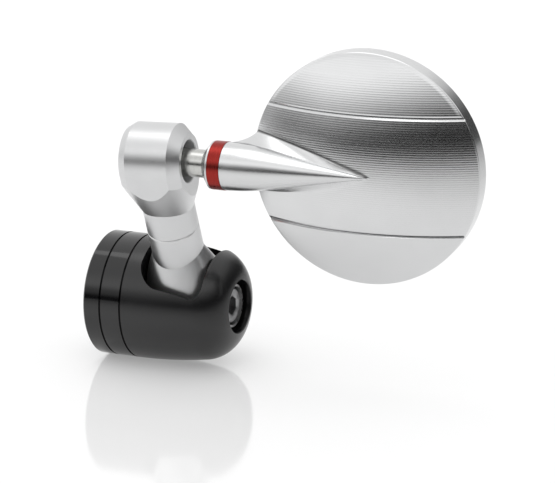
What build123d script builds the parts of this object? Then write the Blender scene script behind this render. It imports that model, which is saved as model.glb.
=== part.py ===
from build123d import *
from math import copysign, radians, sqrt, tan
import os

# Bar end mirror, millimetres. +X runs along the bullet from the handlebar to the nose, +Z is up and
# the origin is the centre of the base ring's back face.

# Bullet
BODY_R = 21.65
BASE_RING_L = 6.4
SPACER_L = 7.65
BODY_L = 35.75
FLANK_L = 25.45
FLANK_END_R = 19.65
NOSE_R = 9.5
NOSE_DEPTH = 5.2
NOSE_WALL = 2.1
SEAM_HALF_W = 0.35
SEAM_DEPTH = 0.7
BACK_CHAMFER = 0.5
SPIGOT_R = 10.0
SPIGOT_L = 1.5

# Slot in the bullet for the arm's foot
SLOT_LEAN = 14.75
SLOT_L = 23.2
SLOT_HALF_W = 16.65
SLOT_FLOOR = -3.0
SLOT_BACK_CORNER = 7.5
SLOT_NOSE_CORNER = 4.0
SWING_ROOM = 1.9

# Clamp screw and pivot
SCREW_R = 4.0
SCREW_HEAD_R = 6.5
SCREW_HEAD_L = 5.0
SCREW_HEAD_FLAT_R = 5.65
SCREW_KEY = 6.0
SCREW_KEY_DEPTH = 3.2
SCREW_END = 7.5
SHANK_STEP = 0.6
BUSH_R = 7.5
BUSH_WALL = 0.75
BUSH_RIM = 0.4
WASHER_T = 0.8
SPRING_CAVITY_R = 12.0

# Arm
PIVOT_X = 30.6
ARM_LEAN = 23.4
STEM_R = 8.9
FOOT_FLARE = 24.0
FOOT_R = 12.55
FOOT_HALF_W = 10.9
FOOT_CHAMFER = 2.4
FOOT_FLARE_SIDE = 23.0
FOOT_FLARE_FRONT = 20.4
SEAM_H = 32.2
SEAM_GAP = 0.35
SEAM_EDGE = 0.4

# Swivel between the two halves of the arm
SWIVEL_TURN = 4.3
SPIGOT_PIN_R = 6.0
SPIGOT_PIN_L = 8.0
SWIVEL_R = 3.0
SWIVEL_L = 29.0
SWIVEL_HEAD_R = 5.0
SWIVEL_HEAD_L = 6.0
SWIVEL_SEAT = 16.0
SWIVEL_SPRING_L = 1.6
SWIVEL_KEY = 5.0

# Barrel and ball
BALL_H = 60.1
BARREL_R = 12.55
BARREL_BACK = 9.8
BARREL_BACK_R = 11.0
BARREL_BACK_EDGE = 7.1
BARREL_FRONT = 11.2
BARREL_FRONT_R = 9.2
BARREL_FRONT_EDGE = 7.7
BARREL_FLARE = 21.5
BARREL_FLARE_SIDE = 41.0
BARREL_FLARE_FRONT = 42.7
BARREL_BORE_R = 9.6
BARREL_MOUTH_R = 7.07
MOUTH_EDGE = 0.4
BALL_R = 8.0
LINER_T = 1.15
LINER_HALF_L = 4.7
PLUG_L = 2.9
PLUG_KEY = 8.0
CUP_L = 3.2
CUP_SPRING_R = 7.4
BALL_FLAT = 4.9

# Mirror head: the stud's direction, and the turn of the disc about it
HEAD_YAW = 1.9
HEAD_DIP = 0.16
HEAD_ROLL = 3.2
PIN_R = 4.75
PIN_END = 36.0
PIN_NECK = 1.0
PIN_NECK_END = 11.0
COLLAR_START = 17.8
COLLAR_R = 5.0
COLLAR_EDGE = 0.6
RING_START = 20.9
RING_L = 4.4
RING_R = 8.2
RING_SPIGOT_R = 6.35
HEAD_STEM_R = 8.1
HEAD_NECK_X = 34.3
HEAD_NECK_R = 7.8
HEAD_TIP_X = 74.8
NECK_BLEND = 70.0
DISC_X = 70.1
DISC_SET = 0.6
DISC_R = 39.55
DOME_H = 9.5
RIM_T = 6.6
RIM_EDGE = 0.15
RIM_CHAMFER = 0.4
FAIRING_X = 32.0
FAIRING_SPREAD = 0.4
FAIRING_CURVE = 0.0037
FAIRING_LEFT = 6.4
GROOVE_Z = 20.0
GROOVE_W = 1.1
GROOVE_DEPTH = 0.5
LIP_W = 2.4
PAD_T = 0.8
GLASS_T = 2.2
GLASS_BULGE = 0.6

# Fits
RUNNING = 0.05
LOOSE = 0.1
CLEAR = 0.4

# Derived stations along the bullet
SPACER_X = BASE_RING_L
BODY_X = SPACER_X + SPACER_L
NOSE_X = BODY_X + BODY_L
RECESS_X = NOSE_X - NOSE_DEPTH
POCKET_END = RECESS_X - NOSE_WALL
POCKET_X = POCKET_END - SLOT_L
FOOT_BACK = PIVOT_X - FOOT_HALF_W
FOOT_FRONT = PIVOT_X + FOOT_HALF_W
HEAD_SEAT = POCKET_END - 0.5
HEAD_TOP = HEAD_SEAT + SCREW_HEAD_L
BUSH_SEAT = BODY_X - 2.0
LINER_R = BALL_R + RUNNING + LINER_T
DOME_R = (DISC_R**2 + DOME_H**2) / (2 * DOME_H)
RING_END = RING_START + RING_L

# Frames: the arm, its upper half, the ball's seat and the mirror head
ARM = Pos(PIVOT_X, 0, 0) * Rot(ARM_LEAN, 0, 0)
UPPER = ARM * Rot(0, 0, SWIVEL_TURN)
SEAT = UPPER * Pos(0, 0, BALL_H)
HEAD = Pos(SEAT.position) * Rot(0, 0, HEAD_YAW) * Rot(0, HEAD_DIP, 0) * Rot(HEAD_ROLL, 0, 0)
SLOT = Rot(SLOT_LEAN, 0, 0)


def turned(*points):
    """Solid of revolution about X from a closed outline of (x, radius) points."""
    return revolve(make_face(Polyline(*points, close=True)), Axis.X)


def ring(start, end, inner, outer):
    """Plain ring along X."""
    return turned((start, inner), (end, inner), (end, outer), (start, outer))


def rod(start, end, radius):
    """Plain cylinder along X."""
    return turned((start, 0), (end, 0), (end, radius), (start, radius))


def upright(shape):
    """Turns a shape built along X so that it runs along Z."""
    return Rot(0, -90, 0) * shape


def across(x):
    """Plane across X, with its own axes along Y and Z."""
    return Plane(origin=(x, 0, 0), x_dir=(0, 1, 0), z_dir=(1, 0, 0))


def key_socket(start, end, width):
    """Hexagonal prism along X, measured across its flats."""
    return extrude(across(start) * RegularPolygon(width / 2, 6, major_radius=False), end - start)


def arch(x, radius, reach):
    """Face across X: half a circle about X whose straight sides reach along Z."""
    crown = -radius if reach > 0 else radius
    outline = Line((radius, reach), (radius, 0))
    outline += ThreePointArc((radius, 0), (0, crown), (-radius, 0))
    outline += Polyline((-radius, 0), (-radius, reach), (radius, reach))
    return across(x) * make_face(outline)


def arched(stations, reach):
    """Solid through arches of given (x, radius)."""
    faces = [arch(x, radius, reach) for x, radius in stations]
    solid = loft(faces[:2], ruled=True)
    for back, front in zip(faces[1:], faces[2:]):
        solid += loft([back, front], ruled=True)
    return solid


def flare(angle, side, front, start, end):
    """Oval cone along Z that meets the stem's radius at the heights side (X) and front (Y)."""
    way = copysign(tan(radians(angle)), end - start)
    ovals = []
    for height in (start, end):
        oval = Ellipse(STEM_R + way * (height - side), STEM_R + way * (height - front))
        ovals.append(Pos(0, 0, height) * oval)
    return loft(ovals, ruled=True)


# Rings behind the bullet
base_ring = turned(
    (0, SCREW_R + CLEAR),
    (0, BODY_R - BACK_CHAMFER),
    (BACK_CHAMFER, BODY_R),
    (SPACER_X - SEAM_HALF_W, BODY_R),
    (SPACER_X - SEAM_HALF_W, BODY_R - SEAM_DEPTH),
    (SPACER_X, BODY_R - SEAM_DEPTH),
    (SPACER_X, SPIGOT_R + LOOSE),
    (SPACER_X - SPIGOT_L - LOOSE, SPIGOT_R + LOOSE),
    (SPACER_X - SPIGOT_L - LOOSE, SCREW_R + CLEAR),
)
spacer_ring = turned(
    (SPACER_X - SPIGOT_L, SCREW_R + CLEAR),
    (SPACER_X - SPIGOT_L, SPIGOT_R),
    (SPACER_X, SPIGOT_R),
    (SPACER_X, BODY_R - SEAM_DEPTH),
    (SPACER_X + SEAM_HALF_W, BODY_R - SEAM_DEPTH),
    (SPACER_X + SEAM_HALF_W, BODY_R),
    (BODY_X - SEAM_HALF_W, BODY_R),
    (BODY_X - SEAM_HALF_W, BODY_R - SEAM_DEPTH),
    (BODY_X, BODY_R - SEAM_DEPTH),
    (BODY_X, BUSH_R + LOOSE),
    (BUSH_SEAT, BUSH_R + LOOSE),
    (BUSH_SEAT, SCREW_R + CLEAR),
)

# Bullet: turned outside, milled pocket for the arm's foot, recess for the screw
flank_end = (BODY_X + FLANK_L, FLANK_END_R)
flank_start = (BODY_X + SEAM_HALF_W, BODY_R)
seam_r = BODY_R - SEAM_DEPTH
edge = Polyline((BODY_X, 0), (BODY_X, seam_r), (BODY_X + SEAM_HALF_W, seam_r), flank_start)
flank = TangentArc(flank_start, flank_end, tangent=(1, 0))
nose = TangentArc(flank_end, (NOSE_X, NOSE_R), tangent=flank % 1)
closing = Polyline((NOSE_X, NOSE_R), (NOSE_X, 0), (BODY_X, 0))
bullet_body = revolve(make_face(edge + flank + nose + closing), Axis.X)
slot_plan = Pos(POCKET_X + SLOT_L / 2, 0) * Rectangle(SLOT_L, 2 * SLOT_HALF_W)
slot_plan = fillet(slot_plan.vertices().group_by(Axis.X)[0], SLOT_BACK_CORNER)
slot_plan = fillet(slot_plan.vertices().group_by(Axis.X)[-1], SLOT_NOSE_CORNER)
bullet_body -= SLOT * Pos(0, 0, SLOT_FLOOR) * extrude(slot_plan, BODY_R - SLOT_FLOOR)
bullet_body -= rod(POCKET_X, POCKET_END, FOOT_R + CLEAR)
bullet_body -= rod(POCKET_X, POCKET_X + FOOT_CHAMFER, FOOT_R + SWING_ROOM)
bullet_body -= rod(BODY_X, POCKET_X + CLEAR, SPRING_CAVITY_R)
bullet_body -= rod(POCKET_X, NOSE_X, BUSH_R + RUNNING)
bullet_body -= turned(
    (RECESS_X, 0),
    (RECESS_X, NOSE_R - 0.3),
    (NOSE_X - 0.3, NOSE_R - 0.3),
    (NOSE_X, NOSE_R),
    (NOSE_X, 0),
)

# Clamp screw, the bush that carries the foot, and the friction stack
pivot_bush = ring(BUSH_SEAT + LOOSE, HEAD_TOP + BUSH_RIM, SCREW_R + CLEAR, BUSH_R)
pivot_bush -= rod(HEAD_SEAT, NOSE_X, BUSH_R - BUSH_WALL)
clamp_screw = turned(
    (-SCREW_END, 0),
    (-SCREW_END, SCREW_R - 0.7),
    (-SCREW_END + 0.7, SCREW_R),
    (0, SCREW_R),
    (0, SCREW_R - SHANK_STEP),
    (HEAD_SEAT, SCREW_R - SHANK_STEP),
    (HEAD_SEAT, SCREW_HEAD_R),
    (HEAD_TOP - SCREW_HEAD_R + SCREW_HEAD_FLAT_R, SCREW_HEAD_R),
    (HEAD_TOP, SCREW_HEAD_FLAT_R),
    (HEAD_TOP, 0),
)
clamp_screw -= key_socket(HEAD_TOP - SCREW_KEY_DEPTH, HEAD_TOP, SCREW_KEY)
washer_inner = BUSH_R + CLEAR
washer_outer = FOOT_R - FOOT_CHAMFER
front_friction_washer = ring(FOOT_FRONT + LOOSE, FOOT_FRONT + LOOSE + WASHER_T, washer_inner, washer_outer)
washer_x = FOOT_BACK - LOOSE - WASHER_T
rear_friction_washer = ring(washer_x, FOOT_BACK - LOOSE, washer_inner, washer_outer)
ring_x = washer_x - LOOSE - 2 * WASHER_T
pressure_ring = ring(ring_x, washer_x - LOOSE, washer_inner, SPRING_CAVITY_R - CLEAR)
disc_spring = turned(
    (BODY_X + LOOSE, washer_inner),
    (BODY_X + LOOSE + WASHER_T, washer_inner),
    (ring_x - LOOSE, SPRING_CAVITY_R - CLEAR),
    (ring_x - LOOSE - WASHER_T, SPRING_CAVITY_R - CLEAR),
)

# Lower arm: milled foot with a round end, turned to a stem through an oval flare
foot_sides = [
    (-FOOT_HALF_W, FOOT_R - FOOT_CHAMFER),
    (FOOT_CHAMFER - FOOT_HALF_W, FOOT_R),
    (FOOT_HALF_W - FOOT_CHAMFER, FOOT_R),
    (FOOT_HALF_W, FOOT_R - FOOT_CHAMFER),
]
stem_top = SEAM_H - SEAM_EDGE
stem = upright(turned((0, 0), (SEAM_H, 0), (SEAM_H, STEM_R - SEAM_EDGE), (stem_top, STEM_R), (0, STEM_R)))
lower_turned = stem + flare(FOOT_FLARE, FOOT_FLARE_SIDE, FOOT_FLARE_FRONT, FOOT_FLARE_SIDE + 3, -FOOT_R)
lower_arm = arched(foot_sides, SEAM_H + 1) & lower_turned
lower_arm -= rod(-FOOT_HALF_W, FOOT_HALF_W, BUSH_R + RUNNING)
lower_arm -= upright(rod(-FOOT_R, SWIVEL_SEAT, SWIVEL_HEAD_R + CLEAR))
lower_arm -= upright(rod(0, SEAM_H, SWIVEL_R + CLEAR))
lower_arm -= upright(rod(SEAM_H - SPIGOT_PIN_L, SEAM_H, SPIGOT_PIN_R + RUNNING))

# Upper arm: milled barrel, turned to a stem with a spigot in the lower arm
barrel_sides = [
    (-BARREL_BACK, BARREL_BACK_R),
    (-BARREL_BACK_EDGE, BARREL_R),
    (BARREL_FRONT_EDGE, BARREL_R),
    (BARREL_FRONT, BARREL_FRONT_R),
]
upper_start = SEAM_H + SEAM_GAP
spigot_start = SEAM_H - SPIGOT_PIN_L + CLEAR
upper_turned = upright(rod(upper_start, BALL_H, STEM_R))
barrel_top = BALL_H + BARREL_R + 1
upper_turned += flare(BARREL_FLARE, BARREL_FLARE_SIDE, BARREL_FLARE_FRONT, BARREL_FLARE_SIDE - 3, barrel_top)
upper_arm = (Pos(0, 0, BALL_H) * arched(barrel_sides, -BALL_H)) & upper_turned
upper_arm += upright(rod(spigot_start, BALL_H - BARREL_R, SPIGOT_PIN_R))
swivel_top = SWIVEL_SEAT - SWIVEL_SPRING_L
upper_arm -= upright(rod(0, swivel_top + SWIVEL_L + CLEAR, SWIVEL_R + RUNNING))
seat_r = LINER_R + RUNNING
mouth_x = sqrt(seat_r**2 - BARREL_MOUTH_R**2)
seat_mid = (mouth_x / 2, sqrt(seat_r**2 - mouth_x**2 / 4))
seat_arc = ThreePointArc((0, seat_r), seat_mid, (mouth_x, BARREL_MOUTH_R))
socket = seat_arc + Polyline(
    (mouth_x, BARREL_MOUTH_R),
    (BARREL_FRONT - MOUTH_EDGE, BARREL_MOUTH_R),
    (BARREL_FRONT, BARREL_MOUTH_R + MOUTH_EDGE),
    (BARREL_FRONT, 0),
    (-BARREL_BACK, 0),
    (-BARREL_BACK, BARREL_BORE_R),
    (0, BARREL_BORE_R),
    (0, seat_r),
)
upper_arm -= Pos(0, 0, BALL_H) * revolve(make_face(socket), Axis.X)

# Swivel screw, put in from below through the foot, and its spring
swivel_screw = turned(
    (swivel_top - SWIVEL_HEAD_L, 0),
    (swivel_top - SWIVEL_HEAD_L, SWIVEL_HEAD_R),
    (swivel_top, SWIVEL_HEAD_R),
    (swivel_top, SWIVEL_R),
    (swivel_top + SWIVEL_L, SWIVEL_R),
    (swivel_top + SWIVEL_L, 0),
)
swivel_screw -= key_socket(swivel_top - SWIVEL_HEAD_L, swivel_top - SWIVEL_HEAD_L / 2, SWIVEL_KEY)
swivel_screw = upright(swivel_screw)
swivel_spring = upright(turned(
    (swivel_top + LOOSE, SWIVEL_HEAD_R),
    (swivel_top + SWIVEL_SPRING_L / 2, SWIVEL_HEAD_R),
    (SWIVEL_SEAT - LOOSE, SWIVEL_R + CLEAR),
    (SWIVEL_SEAT - SWIVEL_SPRING_L / 2, SWIVEL_R + CLEAR),
))

# Ball joint: split liner, cup, spring and threaded plug behind the ball
ball_liner = Sphere(LINER_R) & ring(-LINER_HALF_L, LINER_HALF_L, 0, LINER_R)
ball_liner -= Sphere(BALL_R + RUNNING)
ball_liner -= Pos(0, 0, -LINER_R) * Box(2 * LINER_R, 0.6, 2 * LINER_T + 2)
cup_x = -BARREL_BACK + LOOSE + PLUG_L + 1.0
pressure_cup = ring(cup_x, cup_x + CUP_L, 3.0, BARREL_BORE_R - LOOSE) - Sphere(seat_r)
ball_plug = ring(cup_x - 1.0 - PLUG_L, cup_x - 1.0, 0, BARREL_BORE_R - RUNNING)
ball_plug -= key_socket(cup_x - 1.0 - PLUG_L, cup_x - 2.0, PLUG_KEY)
cup_spring = turned(
    (cup_x - 1.0 + RUNNING, BARREL_BORE_R - CLEAR),
    (cup_x - 0.6, BARREL_BORE_R - CLEAR),
    (cup_x - RUNNING, CUP_SPRING_R),
    (cup_x - 0.4, CUP_SPRING_R),
)

# Stud with its ball, lock collar and accent ring
neck_r = PIN_R + PIN_NECK
neck_x = sqrt(BALL_R**2 - neck_r**2)
ball_stud = (Sphere(BALL_R) & ring(-BALL_FLAT, BALL_R, 0, BALL_R)) + rod(0, PIN_END, PIN_R)
ball_stud += turned((0, 0), (0, neck_r), (neck_x, neck_r), (PIN_NECK_END, PIN_R), (PIN_NECK_END, 0))
lock_collar = turned(
    (COLLAR_START, PIN_R + RUNNING),
    (COLLAR_START, COLLAR_R),
    (RING_START - LOOSE - COLLAR_EDGE, HEAD_STEM_R),
    (RING_START - LOOSE, HEAD_STEM_R),
    (RING_START - LOOSE, PIN_R + RUNNING),
)
accent_ring = ring(RING_START, RING_END - LOOSE, RING_SPIGOT_R + RUNNING, RING_R)


def stem_radius(x):
    """Radius of the mirror's stem past its neck."""
    return HEAD_NECK_R * (HEAD_TIP_X - x) / (HEAD_TIP_X - HEAD_NECK_X)


def dome_depth(x, z):
    """Depth of the dome's surface behind the stem's axis."""
    return DISC_SET + DOME_R - sqrt(DOME_R**2 - (x - DISC_X) ** 2 - z**2)


def fairing_face(x):
    """Section of the fairing: two hollow sides from the stem out to straight lines on the dome."""
    radius = stem_radius(x)
    to_tip = HEAD_TIP_X - x
    width = FAIRING_SPREAD * to_tip - FAIRING_CURVE * to_tip**2
    depth = dome_depth(x, width)
    crown = (0.2 * radius, 0.97 * radius)
    foot = (depth + 0.15, width)
    bend = (0.4 * crown[0] + 0.6 * foot[0], 0.6 * crown[1] + 0.4 * foot[1])
    root = depth + 2.5
    outline = Bezier(crown, bend, foot)
    outline += Polyline(foot, (root, width), (root, -width), (foot[0], -width))
    outline += Bezier((foot[0], -foot[1]), (bend[0], -bend[1]), (crown[0], -crown[1]))
    outline += Line((crown[0], -crown[1]), crown)
    return across(x) * make_face(outline)


# Mirror housing: domed disc and tapered stem in one piece, with its fairing and two grooves
edge_y = DISC_SET + DOME_H
rim_y = edge_y + RIM_T
floor_y = rim_y - PAD_T - GLASS_T - GLASS_BULGE
dome_edge = DISC_R - RIM_EDGE
dome_mid = (dome_edge / 2, dome_depth(DISC_X, dome_edge / 2))
crown_arc = ThreePointArc((0, DISC_SET), dome_mid, (dome_edge, dome_depth(DISC_X, dome_edge)))
rim = Polyline(
    crown_arc @ 1,
    (DISC_R, edge_y + RIM_EDGE),
    (DISC_R, rim_y - RIM_CHAMFER),
    (DISC_R - RIM_CHAMFER, rim_y),
    (DISC_R - LIP_W, rim_y),
    (DISC_R - LIP_W, floor_y),
    (0, floor_y),
    (0, DISC_SET),
)
dome = Pos(DISC_X, 0, 0) * revolve(make_face(crown_arc + rim), Axis.Y)
stem_outline = Polyline(
    (RING_END, 0), (RING_END, HEAD_STEM_R), (HEAD_NECK_X, HEAD_NECK_R), (HEAD_TIP_X, 0), close=True
)
stem_face = make_face(stem_outline)
stem_face = fillet(stem_face.vertices().sort_by_distance((HEAD_NECK_X, HEAD_NECK_R))[0], NECK_BLEND)
head_stem = revolve(stem_face, Axis.X)
head_stem += rod(RING_START + LOOSE, RING_END, RING_SPIGOT_R)
stations = [FAIRING_X + (HEAD_TIP_X - 0.9 - FAIRING_X) * step / 4 for step in range(5)]
fairing = loft([fairing_face(x) for x in stations])
fairing += extrude(fairing_face(FAIRING_X), -FAIRING_LEFT)
trumpet_start = (FAIRING_X - FAIRING_LEFT, HEAD_STEM_R - 0.05)
trumpet = TangentArc(trumpet_start, (FAIRING_X + 0.3, HEAD_STEM_R + FAIRING_LEFT + 0.6), tangent=(1, 0))
trumpet += Polyline(
    trumpet @ 1,
    (FAIRING_X + 0.3, DISC_R),
    (HEAD_TIP_X, DISC_R),
    (HEAD_TIP_X, 0),
    (trumpet_start[0], 0),
    trumpet_start,
)
fairing &= revolve(make_face(trumpet), Axis.X)
mirror_housing = dome + head_stem + fairing
groove_r = sqrt(DOME_R**2 - GROOVE_Z**2)
groove = turned(
    (0, groove_r - GROOVE_DEPTH),
    (GROOVE_W, groove_r + GROOVE_DEPTH),
    (-GROOVE_W, groove_r + GROOVE_DEPTH),
)
for side in (-1, 1):
    mirror_housing -= Pos(DISC_X, DISC_SET + DOME_R, side * GROOVE_Z) * upright(groove)
mirror_housing -= rod(RING_START, PIN_END + CLEAR, PIN_R + RUNNING)

# Mirror glass on its pad
glass_r = DISC_R - LIP_W - CLEAR
pad_y = floor_y + PAD_T
glass_pad = Pos(DISC_X, floor_y, 0) * extrude(Plane.XZ * Circle(glass_r - CLEAR), -PAD_T)
bulge_r = (glass_r**2 + GLASS_BULGE**2) / (2 * GLASS_BULGE)
glass_y = pad_y + GLASS_T
glass_mid = glass_y + GLASS_BULGE - bulge_r + sqrt(bulge_r**2 - glass_r**2 / 4)
glass_arc = ThreePointArc((0, glass_y + GLASS_BULGE), (glass_r / 2, glass_mid), (glass_r, glass_y))
glass_side = Polyline(glass_arc @ 1, (glass_r, pad_y), (0, pad_y), glass_arc @ 0)
mirror_glass = Pos(DISC_X, 0, 0) * revolve(make_face(glass_arc + glass_side), Axis.Y)

NODES = {
    "base_ring": base_ring,
    "spacer_ring": spacer_ring,
    "bullet_body": bullet_body,
    "pivot_bush": pivot_bush,
    "clamp_screw": clamp_screw,
    "front_friction_washer": front_friction_washer,
    "rear_friction_washer": rear_friction_washer,
    "pressure_ring": pressure_ring,
    "disc_spring": disc_spring,
    "lower_arm": ARM * lower_arm,
    "swivel_spring": ARM * swivel_spring,
    "upper_arm": UPPER * upper_arm,
    "swivel_screw": UPPER * swivel_screw,
    "pressure_cup": SEAT * pressure_cup,
    "cup_spring": SEAT * cup_spring,
    "ball_plug": SEAT * ball_plug,
    "ball_liner": SEAT * ball_liner,
    "ball_stud": HEAD * ball_stud,
    "lock_collar": HEAD * lock_collar,
    "accent_ring": HEAD * accent_ring,
    "mirror_housing": HEAD * mirror_housing,
    "glass_pad": HEAD * glass_pad,
    "mirror_glass": HEAD * mirror_glass,
}

os.makedirs("parts", exist_ok=True)
for name, shape in NODES.items():
    export_step(shape, f"parts/{name}.step")
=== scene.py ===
from math import cos, pi, radians, sin

import bmesh
import bpy
from mathutils import Euler, Matrix, Vector


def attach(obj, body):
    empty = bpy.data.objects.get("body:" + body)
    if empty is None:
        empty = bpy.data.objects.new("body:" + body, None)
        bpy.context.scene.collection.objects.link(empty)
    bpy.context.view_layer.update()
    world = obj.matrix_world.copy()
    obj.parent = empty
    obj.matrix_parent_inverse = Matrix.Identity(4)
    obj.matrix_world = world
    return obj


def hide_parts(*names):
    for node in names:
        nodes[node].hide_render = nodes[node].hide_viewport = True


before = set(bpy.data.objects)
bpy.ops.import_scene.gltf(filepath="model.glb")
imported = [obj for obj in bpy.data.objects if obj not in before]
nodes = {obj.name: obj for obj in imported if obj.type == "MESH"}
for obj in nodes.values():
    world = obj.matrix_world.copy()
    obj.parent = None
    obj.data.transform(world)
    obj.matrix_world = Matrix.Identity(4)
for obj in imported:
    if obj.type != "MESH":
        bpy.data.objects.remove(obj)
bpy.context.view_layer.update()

MM = 0.001
MICRON = 0.001 * MM

# The arm, its upper half and the mirror head have frames of their own
PIVOT = Vector((30.6, 0.0, 0.0)) * MM
BALL_HEIGHT = 60.1 * MM
ARM_TURN = Matrix.Rotation(radians(23.4), 3, "X")
UPPER_TURN = ARM_TURN @ Matrix.Rotation(radians(4.3), 3, "Z")
HEAD_TURN = Euler((radians(3.2), radians(0.16), radians(1.9)), "XYZ").to_matrix()
BALL = PIVOT + ARM_TURN @ Vector((0.0, 0.0, BALL_HEIGHT))
MOUTH_RADIUS = 7.2 * MM

# The mirror head in its frame: the stem lies along X, the dome faces -Y, the grooves run along X
DISC_X = 70.1 * MM
DOME_EDGE_Y = (9.85 * MM, 10.0 * MM)
GROOVE_Z = 20.0 * MM
FAIRING_TIP_X = 74.8 * MM
FAIRING_OPENING = 0.4
FAIRING_BEND = 3.7

# Range in which most of a noise texture's values lie
NOISE = (0.3, 0.7)

# Sockets of a Mix node that mixes colours
MIX_SHARE, MIX_FIRST, MIX_SECOND, MIX_COLOUR = 0, 6, 7, 2

ALUMINIUM = (0.67, 0.673, 0.677)


def opaque(colour):
    return (*colour, 1.0)


def shifted(colour, step):
    return tuple(channel + step for channel in colour)


def scaled(colour, factor):
    return tuple(channel * factor for channel in colour)


class Wiring:
    """A node tree under construction."""

    def __init__(self, tree):
        self.tree = tree

    def node(self, kind, **settings):
        made = self.tree.nodes.new(kind)
        for key, value in settings.items():
            setattr(made, key, value)
        return made

    def wire(self, value, socket):
        """Links what varies, and sets what is the same all over."""
        if isinstance(value, bpy.types.NodeSocket):
            self.tree.links.new(value, socket)
        else:
            socket.default_value = value

    def feed(self, node, **values):
        """Wires a node's inputs by their names, with underscores for spaces."""
        for key, value in values.items():
            self.wire(value, node.inputs[key.replace("_", " ")])
        return node

    def math(self, operation, *values):
        made = self.node("ShaderNodeMath", operation=operation)
        for value, socket in zip(values, made.inputs):
            self.wire(value, socket)
        return made.outputs[0]

    def product(self, first, *others):
        for other in others:
            first = self.math("MULTIPLY", first, other)
        return first

    def vector(self, operation, *values):
        made = self.node("ShaderNodeVectorMath", operation=operation)
        for value, socket in zip(values, made.inputs):
            self.wire(value, socket)
        return made

    def split(self, vector):
        parts = self.feed(self.node("ShaderNodeSeparateXYZ"), Vector=vector)
        return parts.outputs["X"], parts.outputs["Y"], parts.outputs["Z"]

    def span(self, value, low, high, out_low=0.0, out_high=1.0, easing="LINEAR"):
        """Runs from out_low to out_high while the value runs from low to high."""
        made = self.node("ShaderNodeMapRange", interpolation_type=easing)
        self.feed(made, Value=value, From_Min=low, From_Max=high)
        self.feed(made, To_Min=out_low, To_Max=out_high)
        return made.outputs[0]

    def blend(self, share, first, second):
        made = self.node("ShaderNodeMix", data_type="RGBA")
        self.wire(share, made.inputs[MIX_SHARE])
        self.wire(first, made.inputs[MIX_FIRST])
        self.wire(second, made.inputs[MIX_SECOND])
        return made.outputs[MIX_COLOUR]

    def levels(self, value, stops):
        """Grey that follows the value through (value, grey) stops."""
        ramp = self.node("ShaderNodeValToRGB")
        ramp.color_ramp.interpolation = "EASE"
        elements = ramp.color_ramp.elements
        while len(elements) < len(stops):
            elements.new(0.5)
        for element, (position, grey) in zip(elements, stops):
            element.position = position
            element.color = (grey, grey, grey, 1.0)
        self.feed(ramp, Fac=value)
        return ramp.outputs["Color"]


class Finish(Wiring):
    """A material under construction: one Principled shader and the nodes that feed it."""

    def __init__(self, name, colour, roughness, metallic):
        self.material = bpy.data.materials.new(name)
        self.material.use_nodes = True
        super().__init__(self.material.node_tree)
        self.shader = self.tree.nodes["Principled BSDF"]
        self.surface(Base_Color=opaque(colour), Roughness=roughness, Metallic=metallic)
        self.place = self.node("ShaderNodeTexCoord").outputs["Object"]

    def surface(self, **values):
        self.feed(self.shader, **values)

    def group(self, tree, **values):
        return self.feed(self.node("ShaderNodeGroup", node_tree=tree), **values).outputs

    def own_frame(self, origin, turn):
        """Object coordinates as seen from a frame with that origin and turn."""
        mapping = self.node("ShaderNodeMapping", vector_type="TEXTURE")
        self.feed(mapping, Vector=self.place, Location=origin, Rotation=turn.to_euler("XYZ"))
        return mapping.outputs["Vector"]

    def tone(self, value, dark, bright, low=NOISE[0], high=NOISE[1]):
        """Colour that runs from dark to bright while the value runs from low to high."""
        share = self.span(value, low, high, easing="SMOOTHSTEP")
        return self.blend(share, opaque(dark), opaque(bright))

    def leaned(self, direction, slope):
        """Surface normal that leans towards a direction of the piece, by a slope."""
        turned = self.node("ShaderNodeVectorTransform", vector_type="VECTOR")
        turned.convert_from, turned.convert_to = "OBJECT", "WORLD"
        self.feed(turned, Vector=direction)
        lean = self.feed(self.vector("SCALE", turned.outputs["Vector"]), Scale=slope)
        normal = self.node("ShaderNodeNewGeometry").outputs["Normal"]
        leaned = self.vector("ADD", normal, lean.outputs["Vector"])
        return self.vector("NORMALIZE", leaned.outputs["Vector"]).outputs["Vector"]

    def bump(self, height, depth):
        """Surface relief: a height of 1 is worth that depth in metres."""
        relief = self.node("ShaderNodeBump")
        self.feed(relief, Strength=1.0, Distance=depth, Height=height)
        self.surface(Normal=relief.outputs["Normal"])
        return relief


def shader_group(name, inputs, outputs):
    """Node group with number or vector inputs at their usual values, and number outputs."""
    tree = bpy.data.node_groups.new(name, "ShaderNodeTree")
    for label, value in inputs.items():
        kind = "NodeSocketFloat" if isinstance(value, float) else "NodeSocketVector"
        socket = tree.interface.new_socket(label, in_out="INPUT", socket_type=kind)
        socket.default_value = value
    for label in outputs:
        tree.interface.new_socket(label, in_out="OUTPUT", socket_type="NodeSocketFloat")
    work = Wiring(tree)
    return work, work.node("NodeGroupInput").outputs, work.node("NodeGroupOutput").inputs


def make_grain():
    """Fine satin grain with broad, faint clouding over it."""
    inputs = {"Place": (0.0, 0.0, 0.0), "Fine": 9000.0, "Broad": 90.0}
    work, take, give = shader_group("satin_grain", inputs, ("Grain", "Cloud"))
    for size, detail, out in (("Fine", 2.0, "Grain"), ("Broad", 4.0, "Cloud")):
        noise = work.node("ShaderNodeTexNoise")
        work.feed(noise, Vector=take["Place"], Scale=take[size], Detail=detail)
        work.wire(noise.outputs["Fac"], give[out])
    return work.tree


def make_tool_rings():
    """Fine rings of a turning tool; Stretch is largest along the axis that they lie across."""
    inputs = {"Place": (0.0, 0.0, 0.0), "Stretch": (9000.0, 500.0, 500.0)}
    work, take, give = shader_group("tool_rings", inputs, ("Rings",))
    drawn = work.feed(work.node("ShaderNodeMapping"), Vector=take["Place"], Scale=take["Stretch"])
    noise = work.node("ShaderNodeTexNoise")
    work.feed(noise, Vector=drawn.outputs["Vector"], Scale=1.0, Detail=2.0)
    work.wire(noise.outputs["Fac"], give["Rings"])
    return work.tree


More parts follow.
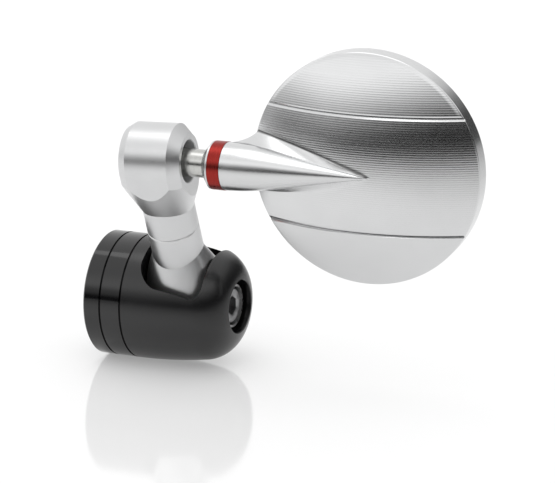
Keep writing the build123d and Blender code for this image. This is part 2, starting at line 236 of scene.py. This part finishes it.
def make_tool_lines():
    """Marks of a tilted ball cutter that ran along X and stepped along Z.

    They are low terraces, each a little hollow. Lean is the slope of a tread, and the riser
    between two treads is too thin to show. Streak varies from pass to pass."""
    inputs = {
        "Place": (0.0, 0.0, 0.0),
        "Pitch": 0.001,
        "Uneven": 0.3,
        "Slope": 0.05,
        "Hollow": 0.05,
    }
    waver_along = 9.0
    work, take, give = shader_group("tool_lines", inputs, ("Lean", "Streak"))
    x, _, z = work.split(take["Place"])
    steps = work.math("DIVIDE", z, take["Pitch"])
    line = work.node("ShaderNodeCombineXYZ")
    work.feed(line, X=work.math("MULTIPLY", x, waver_along), Z=steps)
    noise = work.node("ShaderNodeTexNoise")
    work.feed(noise, Vector=line.outputs["Vector"], Scale=1.3, Detail=3.0)
    streak = noise.outputs["Fac"]
    sway = work.math("MULTIPLY", work.math("SUBTRACT", streak, 0.5), take["Uneven"])
    share = work.math("SUBTRACT", 0.5, work.math("FRACT", work.math("ADD", steps, sway)))
    hollow = work.math("MULTIPLY", share, take["Hollow"])
    work.wire(work.math("ADD", take["Slope"], hollow), give["Lean"])
    work.wire(streak, give["Streak"])
    return work.tree


GRAIN = make_grain()
TOOL_RINGS = make_tool_rings()
TOOL_LINES = make_tool_lines()


def black_anodised(name, roughness, depth):
    """Black dyed aluminium; depth is that of its grain."""
    finish = Finish(name, (0.004, 0.004, 0.0045), roughness, 0.0)
    grain = finish.group(GRAIN, Place=finish.place, Fine=7000.0, Broad=60.0)
    tone = finish.tone(grain["Cloud"], (0.0035, 0.0035, 0.004), (0.005, 0.005, 0.0055), 0.35, 0.65)
    rough = finish.span(grain["Cloud"], *NOISE, roughness - 0.02, roughness + 0.02)
    finish.surface(IOR=1.58, Base_Color=tone, Roughness=rough)
    finish.bump(grain["Grain"], depth)
    return finish.material


def turned_aluminium(name, origin, turn, along, bore=0.0):
    """Satin aluminium whose faint tool rings lie across one axis of the piece's own frame.

    Nearer that axis than the bore's radius, the surface is matt."""
    finish = Finish(name, ALUMINIUM, 0.33, 1.0)
    place = finish.own_frame(origin, turn)
    stretch = [9000.0 if axis == along else 700.0 for axis in "XYZ"]
    rings = finish.group(TOOL_RINGS, Place=place, Stretch=stretch)["Rings"]
    grain = finish.group(GRAIN, Place=place, Fine=5200.0, Broad=70.0)
    tone = finish.tone(grain["Cloud"], shifted(ALUMINIUM, -0.015), shifted(ALUMINIUM, 0.015))
    rough = finish.span(rings, *NOISE, 0.29, 0.36)
    if bore:
        sideways = [0.0 if axis == along else 1.0 for axis in "XYZ"]
        flat = finish.vector("MULTIPLY", place, sideways).outputs["Vector"]
        reach = finish.vector("LENGTH", flat).outputs["Value"]
        rough = finish.math("ADD", rough, finish.span(reach, bore, bore + 0.2 * MM, 0.5, 0.0))
    finish.surface(Base_Color=tone, Roughness=rough)
    finish.bump(finish.math("ADD", rings, grain["Grain"]), MICRON)
    return finish.material


def milled_aluminium():
    """Mirror head: a dome milled in straight passes along the stem, and a satin fairing on it."""
    finish = Finish("milled_aluminium", ALUMINIUM, 0.24, 1.0)
    place = finish.own_frame(BALL, HEAD_TURN)
    x, y, z = finish.split(place)
    across = finish.math("ABSOLUTE", z)
    on_dome = finish.span(y, *DOME_EDGE_Y, 1.0, 0.0)

    # The fairing narrows to its tip; wing is how far a point lies outside of its outline
    to_tip = finish.math("SUBTRACT", FAIRING_TIP_X, x)
    spread = finish.math("SUBTRACT", FAIRING_OPENING, finish.product(to_tip, FAIRING_BEND))
    wing = finish.math("SUBTRACT", across, finish.product(to_tip, spread))
    off_outline = finish.math("ABSOLUTE", wing)
    off_fairing = finish.span(wing, -0.1 * MM, 0.3 * MM)

    # The passes stop at the grooves
    from_groove = finish.math("SUBTRACT", across, GROOVE_Z)
    off_groove = finish.span(finish.math("ABSOLUTE", from_groove), 0.6 * MM, 0.8 * MM)
    milled = finish.product(off_fairing, on_dome, off_groove)
    lines = finish.group(
        TOOL_LINES, Place=place, Pitch=0.74 * MM, Uneven=0.1, Slope=0.06, Hollow=0.11
    )
    passes = finish.product(lines["Lean"], milled)

    # The upper edge of each groove is broken
    above_groove = finish.product(from_groove, finish.math("SIGN", z))
    broken = finish.span(above_groove, 1.1 * MM, 0.9 * MM, 0.0, -0.4)
    past_edge = finish.span(above_groove, 0.5 * MM, 0.55 * MM)
    broken = finish.product(broken, past_edge, on_dome, off_fairing)

    # Above the upper groove, the dome rolls over inside the rim
    aside = finish.math("SUBTRACT", x, DISC_X)
    reach = finish.math("ADD", finish.product(aside, aside), finish.product(across, across))
    rolled = finish.span(finish.math("SQRT", reach), 38.0 * MM, 38.7 * MM, 0.0, 0.09)
    in_rim = finish.span(y, 10.03 * MM, 10.1 * MM, 1.0, 0.0)
    rolled = finish.product(rolled, finish.span(z, 20.5 * MM, 22.5 * MM), in_rim)

    slope = finish.math("ADD", finish.math("ADD", passes, broken), rolled)
    facing = finish.leaned(HEAD_TURN @ Vector((0.0, 0.0, 1.0)), slope)

    # A hollow foot follows the fairing's outline and runs out at the tip
    foot = finish.span(off_outline, 0.0, 1.4 * MM, 1.0, 0.0)
    depth = finish.product(finish.math("MAXIMUM", to_tip, 0.0), 7.0)
    relief = finish.bump(finish.product(foot, foot, depth, on_dome), 0.4 * MM)
    finish.feed(relief, Normal=facing)

    # Along the fairing's upper edge, a band of painted shade darkens the crease; it widens towards
    # the tip
    width = finish.span(to_tip, 0.0, 14.0 * MM, 1.1 * MM, 0.4 * MM)
    point = finish.span(to_tip, -2.0 * MM, 4.0 * MM, 0.1 * MM, 1.1 * MM)
    width = finish.math("MINIMUM", width, point)
    painted_crease_shade = finish.span(finish.math("DIVIDE", off_outline, width), 0.4, 1.2, 1.0, 0.0)
    painted_crease_shade = finish.product(painted_crease_shade, finish.span(z, 0.0, 0.3 * MM), on_dome)
    grain = finish.group(GRAIN, Place=place, Fine=5200.0, Broad=70.0)
    tone = finish.tone(grain["Cloud"], shifted(ALUMINIUM, -0.01), shifted(ALUMINIUM, 0.01))
    # Painted shade: in the crease the colour is blended to dark grey
    tone = finish.blend(painted_crease_shade, tone, opaque((0.19, 0.19, 0.19)))

    rough = finish.span(lines["Streak"], *NOISE, 0.17, 0.23)
    rough = finish.math("ADD", rough, finish.span(off_fairing, 0.0, 1.0, 0.05, 0.0))
    finish.surface(Base_Color=tone, Roughness=rough)
    return finish.material


def red_anodised():
    finish = Finish("red_anodised", (0.3, 0.03, 0.025), 0.28, 1.0)
    place = finish.own_frame(BALL, HEAD_TURN)
    rings = finish.group(TOOL_RINGS, Place=place, Stretch=(9000.0, 400.0, 400.0))["Rings"]
    tone = finish.tone(rings, (0.28, 0.026, 0.022), (0.33, 0.036, 0.03))
    finish.surface(Base_Color=tone, Roughness=finish.span(rings, *NOISE, 0.24, 0.33))
    finish.bump(rings, 2 * MICRON)
    return finish.material


def steel(name, colour, roughness, own_frame=None):
    """Turned steel; its rings lie across X, or across X of its own frame."""
    finish = Finish(name, colour, roughness, 1.0)
    place = finish.own_frame(*own_frame) if own_frame else finish.place
    rings = finish.group(TOOL_RINGS, Place=place, Stretch=(8000.0, 500.0, 500.0))["Rings"]
    tone = finish.tone(rings, scaled(colour, 0.93), scaled(colour, 1.05))
    rough = finish.span(rings, *NOISE, roughness - 0.04, roughness + 0.05)
    finish.surface(Base_Color=tone, Roughness=rough)
    finish.bump(rings, 2 * MICRON)
    return finish.material


def plain_grain(name, colour, roughness):
    """Moulded plastic or rubber with a fine grain."""
    finish = Finish(name, colour, roughness, 0.0)
    grain = finish.group(GRAIN, Place=finish.place, Fine=3000.0, Broad=80.0)
    tone = finish.tone(grain["Cloud"], scaled(colour, 0.9), scaled(colour, 1.08))
    finish.surface(Base_Color=tone)
    finish.bump(grain["Grain"], 10 * MICRON)
    return finish.material


def mirror_silver():
    """Silvered glass with a trace of dust."""
    finish = Finish("mirror_silver", (0.86, 0.885, 0.89), 0.02, 1.0)
    dust = finish.group(GRAIN, Place=finish.place, Fine=2200.0, Broad=45.0)["Cloud"]
    tone = finish.tone(dust, (0.85, 0.875, 0.88), (0.875, 0.895, 0.90))
    finish.surface(Base_Color=tone, Roughness=finish.span(dust, 0.45, 0.75, 0.012, 0.05))
    return finish.material


BLACK = black_anodised("black_anodised", 0.25, 3 * MICRON)
RING_BLACK = black_anodised("black_anodised_turned", 0.09, MICRON)
LOWER_ALUMINIUM = turned_aluminium("lower_arm_aluminium", PIVOT, ARM_TURN, "Z")
UPPER_ALUMINIUM = turned_aluminium("upper_arm_aluminium", BALL, UPPER_TURN, "X", MOUTH_RADIUS)
COLLAR_ALUMINIUM = turned_aluminium("collar_aluminium", BALL, HEAD_TURN, "X")
MILLED = milled_aluminium()
RED = red_anodised()
PIN_STEEL = steel("pin_steel", (0.56, 0.56, 0.54), 0.2, (BALL, HEAD_TURN))
SCREW_STEEL = steel("screw_steel", (0.32, 0.322, 0.325), 0.34)
BUSH_STEEL = steel("bush_steel", (0.4, 0.4, 0.4), 0.3)
SPRING_STEEL = steel("spring_steel", (0.5, 0.5, 0.5), 0.3)
NYLON = plain_grain("nylon", (0.75, 0.74, 0.70), 0.4)
PAD = plain_grain("pad_foam", (0.03, 0.03, 0.03), 0.8)
MIRROR = mirror_silver()

FINISHES = {
    "base_ring": RING_BLACK,
    "spacer_ring": RING_BLACK,
    "bullet_body": BLACK,
    "pivot_bush": BUSH_STEEL,
    "clamp_screw": SCREW_STEEL,
    "front_friction_washer": NYLON,
    "rear_friction_washer": NYLON,
    "pressure_ring": SPRING_STEEL,
    "disc_spring": SPRING_STEEL,
    "lower_arm": LOWER_ALUMINIUM,
    "swivel_spring": SPRING_STEEL,
    "upper_arm": UPPER_ALUMINIUM,
    "swivel_screw": SCREW_STEEL,
    "pressure_cup": SPRING_STEEL,
    "cup_spring": SPRING_STEEL,
    "ball_plug": SCREW_STEEL,
    "ball_liner": NYLON,
    "ball_stud": PIN_STEEL,
    "lock_collar": COLLAR_ALUMINIUM,
    "accent_ring": RED,
    "mirror_housing": MILLED,
    "glass_pad": PAD,
    "mirror_glass": MIRROR,
}
for name, material in FINISHES.items():
    nodes[name].data.materials.clear()
    nodes[name].data.materials.append(material)


def thread_ridge(radius, pitch, start, end, ridge, finish):
    """Ridge of a thread that winds about X: a node tree with named sizes sweeps it on a spiral."""
    rise = end - start
    sizes = {
        "Radius": radius,
        "Rise": rise,
        "Turns": rise / pitch,
        "Ridge": ridge,
        "Start": start,
    }
    tree = bpy.data.node_groups.new("thread_ridge", "GeometryNodeTree")
    keys = {}
    for label in sizes:
        made = tree.interface.new_socket(label, in_out="INPUT", socket_type="NodeSocketFloat")
        keys[label] = made.identifier
    made = tree.interface.new_socket("Finish", in_out="INPUT", socket_type="NodeSocketMaterial")
    keys["Finish"] = made.identifier
    tree.interface.new_socket("Geometry", in_out="OUTPUT", socket_type="NodeSocketGeometry")

    work = Wiring(tree)
    take = work.node("NodeGroupInput").outputs
    spiral = work.node("GeometryNodeCurveSpiral")
    work.feed(spiral, Resolution=40, Rotations=take["Turns"], Height=take["Rise"])
    work.feed(spiral, Start_Radius=take["Radius"], End_Radius=take["Radius"])
    section = work.node("GeometryNodeCurvePrimitiveCircle")
    work.feed(section, Resolution=3, Radius=take["Ridge"])
    sweep = work.node("GeometryNodeCurveToMesh")
    work.feed(sweep, Curve=spiral.outputs["Curve"], Fill_Caps=True)
    work.feed(sweep, Profile_Curve=section.outputs["Curve"])
    shift = work.feed(work.node("ShaderNodeCombineXYZ"), X=take["Start"])
    lay = work.node("GeometryNodeTransform")
    work.feed(lay, Geometry=sweep.outputs["Mesh"], Rotation=(0.0, pi / 2, 0.0))
    work.feed(lay, Translation=shift.outputs["Vector"])
    whole = work.node("GeometryNodeRealizeInstances")
    work.feed(whole, Geometry=lay.outputs["Geometry"])
    coat = work.node("GeometryNodeSetMaterial")
    work.feed(coat, Geometry=whole.outputs["Geometry"], Material=take["Finish"])
    work.feed(work.node("NodeGroupOutput"), Geometry=coat.outputs["Geometry"])

    holder = bpy.data.objects.new("thread_ridge", bpy.data.meshes.new("thread_ridge"))
    bpy.context.scene.collection.objects.link(holder)
    winding = holder.modifiers.new("winding", "NODES")
    winding.node_group = tree
    for label, value in sizes.items():
        winding[keys[label]] = value
    winding[keys["Finish"]] = finish
    shown = holder.evaluated_get(bpy.context.evaluated_depsgraph_get())
    mesh = bpy.data.meshes.new_from_object(shown)
    bpy.data.objects.remove(holder)
    return mesh


def hexagon(flats):
    """Radius of a hexagon, by angle, from its width across flats."""
    return lambda angle: flats / 2 / cos((angle + pi / 6) % (pi / 3) - pi / 6)


def lathe(solid, loops, steps, place=Matrix.Identity(4)):
    """Skin about X through (x, radius) loops, closed at both ends.

    A radius may depend on the angle."""
    rows = []
    for x, radius in loops:
        row = []
        for step in range(steps):
            angle = 2 * pi * step / steps
            reach = radius(angle) if callable(radius) else radius
            point = Vector((x, reach * cos(angle), reach * sin(angle)))
            row.append(solid.verts.new(place @ point))
        rows.append(row)
    for low, high in zip(rows, rows[1:]):
        for step in range(steps):
            after = (step + 1) % steps
            solid.faces.new((low[step], low[after], high[after], high[step]))
    solid.faces.new(rows[0][::-1])
    solid.faces.new(rows[-1])


def finish_piece(solid, name, material, body, node):
    """Turns the solid into a piece that rides on a body in place of a CAD node."""
    bmesh.ops.recalc_face_normals(solid, faces=solid.faces)
    for face in solid.faces:
        face.smooth = True
        face.material_index = 0
    mesh = bpy.data.meshes.new(name)
    solid.to_mesh(mesh)
    solid.free()
    mesh.set_sharp_from_angle(angle=radians(25))
    mesh.materials.append(material)
    piece = bpy.data.objects.new(name, mesh)
    bpy.context.scene.collection.objects.link(piece)
    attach(piece, body)
    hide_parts(node)


def threaded_screw():
    """Socket screw: thread on its free end, plain shank, cylindrical head with a key socket."""
    key = hexagon(6.0 * MM)
    profile = [
        (-7.5, 2.7),
        (-6.9, 3.3),
        (-0.1, 3.3),
        (0.0, 3.4),
        (42.0, 3.4),
        (42.0, 6.2),
        (42.3, 6.5),
        (46.15, 6.5),
        (47.0, 5.65),
        (47.0, 3.75),
    ]
    loops = [(x * MM, radius * MM) for x, radius in profile]
    loops += [(46.7 * MM, key), (43.8 * MM, key)]
    thread = thread_ridge(
        radius=3.6 * MM,
        pitch=1.25 * MM,
        start=-7.0 * MM,
        end=-0.4 * MM,
        ridge=0.38 * MM,
        finish=SCREW_STEEL,
    )
    solid = bmesh.new()
    lathe(solid, loops, 72)
    solid.from_mesh(thread)
    finish_piece(solid, "clamp_screw_threaded", SCREW_STEEL, "base", "clamp_screw")


def ground_glass():
    """Convex mirror glass with a ground edge, on the axis of the disc; sizes in millimetres."""
    radius, bulge, crown = 36.75, 0.6, 16.7
    crown_edge, rings = 36.3, 24
    sphere = (radius**2 + bulge**2) / (2 * bulge)
    loops = [(13.9, 36.45), (14.2, radius), (15.7, radius)]
    for ring in range(rings):
        reach = crown_edge * (1 - ring / rings)
        loops.append((crown - sphere + (sphere**2 - reach**2) ** 0.5, reach))
    middle = BALL + HEAD_TURN @ Vector((DISC_X, 0.0, 0.0))
    facing = Matrix.Rotation(pi / 2, 4, "Z")
    place = Matrix.Translation(middle) @ HEAD_TURN.to_4x4() @ facing
    solid = bmesh.new()
    lathe(solid, [(x * MM, reach * MM) for x, reach in loops], 144, place)
    finish_piece(solid, "mirror_glass_ground", MIRROR, "mirror_head", "mirror_glass")


threaded_screw()
ground_glass()

FLOOR_Z = -21.7 * MM
FLOOR_LIFT = 0.3
TABLE = ((-4.0, -4.5), (-0.41, -1.0), (4.0, -1.0), (4.0, 6.0), (-4.0, 6.0))

# Grey of the surround by height, in front of the object and behind it; to the right it is darker
FRONT_LEVELS = ((0.0, 0.004), (0.165, 0.02), (0.335, 0.52), (0.54, 1.29), (0.85, 1.0))
FRONT_SLANT = 0.26
BACK_LEVELS = ((0.19, 0.07), (0.354, 0.22), (0.56, 0.72), (0.74, 0.97), (0.9, 1.0))
BACK_SLANT = 0.9
BACK_LIFT = 0.3
SIDE_LEFT, SIDE_RIGHT = -0.54, 0.35
FORWARD = (0.26, -0.966, 0.0)

LAMP_SIZE = (0.8, 0.6)
LAMP_POWER = 1.5
LAMP_PLACE = Vector((-0.05, -0.1, 1.0))
LAMP_AIM = Vector((0.06, 0.0, 0.02))

# The focal length is in pixels of a picture of that width
PICTURE_WIDTH = 555.0
FOCAL_LENGTH = 2850.5
SENSOR_WIDTH = 36.0
CAMERA_TURN, CAMERA_LIFT = radians(23.63), radians(14.65)
CAMERA_RIGHT, CAMERA_UP, CAMERA_AWAY = 58.41 * MM, 17.3 * MM, 1000.0 * MM


def lay_table():
    """Pale glossy table, lifted to white where the camera or a reflection sees it."""
    mesh = bpy.data.meshes.new("studio_floor")
    mesh.from_pydata([(x, y, FLOOR_Z) for x, y in TABLE], [], [tuple(range(len(TABLE)))])
    floor = bpy.data.objects.new("studio_floor", mesh)
    bpy.context.scene.collection.objects.link(floor)
    finish = Finish("studio_floor", (0.65, 0.65, 0.65), 0.08, 0.0)
    path = finish.node("ShaderNodeLightPath").outputs
    seen = finish.math("ADD", path["Is Camera Ray"], path["Is Glossy Ray"])
    seen = finish.math("ADD", seen, path["Is Transmission Ray"])
    lift = finish.node("ShaderNodeEmission")
    finish.feed(lift, Strength=finish.math("MULTIPLY", seen, FLOOR_LIFT))
    both = finish.node("ShaderNodeAddShader")
    finish.wire(finish.shader.outputs[0], both.inputs[0])
    finish.wire(lift.outputs[0], both.inputs[1])
    finish.feed(finish.tree.nodes["Material Output"], Surface=both.outputs[0])
    mesh.materials.append(finish.material)


def set_surround():
    """Soft surround that is dark low down in front and to the right."""
    world = bpy.data.worlds.new("studio_surround")
    bpy.context.scene.world = world
    world.use_nodes = True
    work = Wiring(world.node_tree)
    direction = work.node("ShaderNodeTexCoord").outputs["Generated"]
    side, _, height = work.split(direction)
    side = work.math("MINIMUM", work.math("MAXIMUM", side, SIDE_LEFT), SIDE_RIGHT)
    front = work.math("SUBTRACT", height, work.math("MULTIPLY", side, FRONT_SLANT))
    back = work.math("ADD", height, BACK_LIFT)
    back = work.math("SUBTRACT", back, work.math("MULTIPLY", side, BACK_SLANT))
    ahead = work.vector("DOT_PRODUCT", direction, FORWARD).outputs["Value"]
    share = work.span(ahead, -0.25, 0.45, easing="SMOOTHSTEP")
    front_grey = work.levels(front, FRONT_LEVELS)
    back_grey = work.levels(back, BACK_LEVELS)
    work.feed(work.tree.nodes["Background"], Color=work.blend(share, back_grey, front_grey))


def hang_lamp():
    """Soft box above the object."""
    lamp = bpy.data.lights.new("soft_box", "AREA")
    lamp.shape = "RECTANGLE"
    lamp.size, lamp.size_y = LAMP_SIZE
    lamp.energy = LAMP_POWER
    soft_box = bpy.data.objects.new("soft_box", lamp)
    bpy.context.scene.collection.objects.link(soft_box)
    aim = (LAMP_AIM - LAMP_PLACE).to_track_quat("-Z", "Y")
    soft_box.matrix_world = Matrix.Translation(LAMP_PLACE) @ aim.to_matrix().to_4x4()


def aim_camera():
    """Long lens at the photograph's angle."""
    right = Vector((cos(CAMERA_TURN), sin(CAMERA_TURN), 0.0))
    toward = Vector((sin(CAMERA_TURN), -cos(CAMERA_TURN), 0.0)) * cos(CAMERA_LIFT)
    toward.z = sin(CAMERA_LIFT)
    up = toward.cross(right)
    lens = bpy.data.cameras.new("long_lens")
    lens.sensor_fit = "HORIZONTAL"
    lens.sensor_width = SENSOR_WIDTH
    lens.lens = SENSOR_WIDTH * FOCAL_LENGTH / PICTURE_WIDTH
    camera = bpy.data.objects.new("long_lens", lens)
    bpy.context.scene.collection.objects.link(camera)
    place = CAMERA_RIGHT * right + CAMERA_UP * up + CAMERA_AWAY * toward
    turned = Matrix((right, up, toward)).transposed().to_4x4()
    camera.matrix_world = Matrix.Translation(place) @ turned
    bpy.context.scene.camera = camera


lay_table()
set_surround()
hang_lamp()
aim_camera()
bpy.context.scene.view_settings.view_transform = "Standard"
